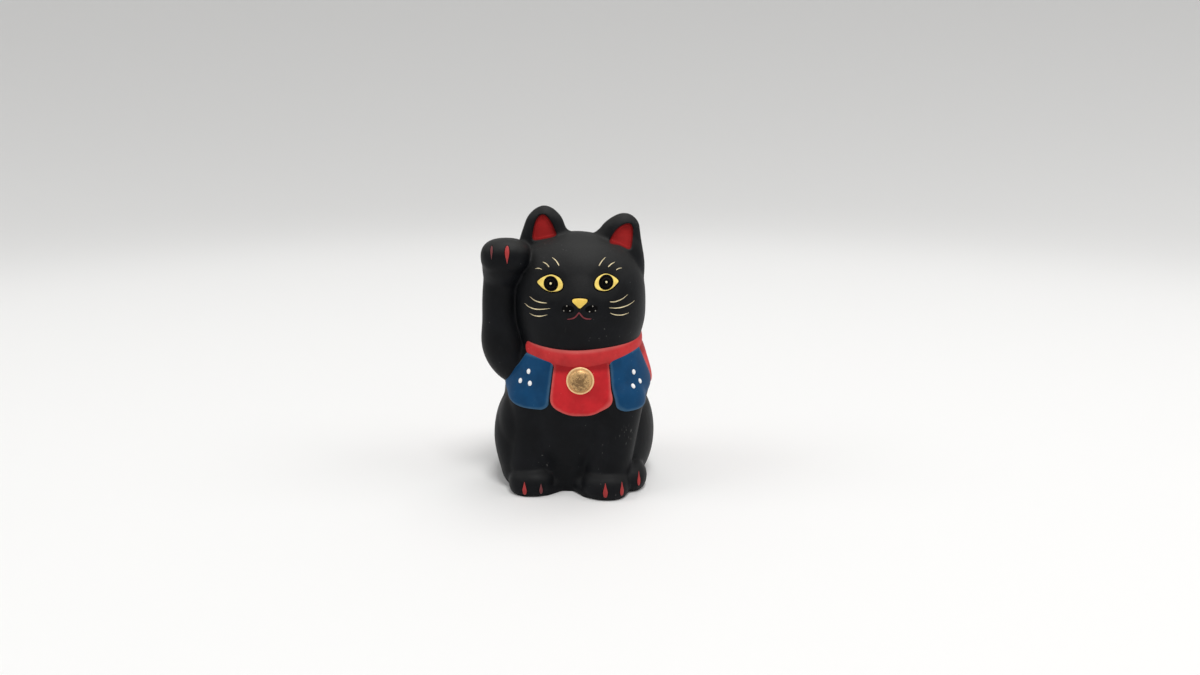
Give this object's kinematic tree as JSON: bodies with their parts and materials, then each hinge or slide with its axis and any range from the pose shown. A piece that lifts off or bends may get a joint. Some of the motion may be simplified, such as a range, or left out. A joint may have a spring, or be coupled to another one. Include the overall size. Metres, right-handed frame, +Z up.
{
  "type": "lucky cat figurine",
  "caption": "Seated lucky cat figurine of painted clay, its right paw raised beside its face, with a collar, a panelled bib, a domed bell and a flat hollow base.",
  "frame": {"origin": "middle of the figure's footprint, on the floor that it stands on", "axes": "+Z up, the cat faces -Y, and its raised right paw is at -X"},
  "size_m": [0.048, 0.0458, 0.0762],
  "materials": {
    "matt_black": "matt black paint on unglazed fired clay",
    "red_paint": "satin red paint on fired clay",
    "blue_paint": "satin deep blue paint on fired clay",
    "gold_paint": "mottled gold paint on fired clay",
    "white_enamel": "raised white enamel",
    "yellow_enamel": "raised yellow enamel",
    "black_enamel": "glossy black enamel",
    "red_enamel": "red enamel"
  },
  "bodies": {
    "root": {"body_shell": "matt_black", "head_shell": "matt_black", "raised_arm": "matt_black", "tail": "matt_black", "collar_band": "red_paint", "bib_panel_front": "red_paint", "bib_panel_side_left": "red_paint", "bib_panel_side_right": "red_paint", "bib_panel_front_left": "blue_paint", "bib_panel_rear": "blue_paint", "bib_panel_front_right": "blue_paint", "bell": "gold_paint", "bib_dot_front_left_1": "white_enamel", "bib_dot_front_left_2": "white_enamel", "bib_dot_front_left_3": "white_enamel", "bib_dot_front_right_1": "white_enamel", "bib_dot_front_right_2": "white_enamel", "bib_dot_front_right_3": "white_enamel", "bib_dot_rear_1": "white_enamel", "bib_dot_rear_2": "white_enamel", "bib_dot_rear_3": "white_enamel", "glint_right": "white_enamel", "glint_left": "white_enamel", "eye_right": "yellow_enamel", "eye_left": "yellow_enamel", "nose": "yellow_enamel", "pupil_right": "black_enamel", "pupil_left": "black_enamel", "ear_lining_right": "red_enamel", "ear_lining_left": "red_enamel", "claw_raised_paw_1": "red_enamel", "claw_raised_paw_2": "red_enamel", "claw_right_forepaw_1": "red_enamel", "claw_right_forepaw_2": "red_enamel", "claw_left_forepaw_1": "red_enamel", "claw_left_forepaw_2": "red_enamel", "claw_left_hindpaw": "red_enamel"}
  },
  "joints": []
}
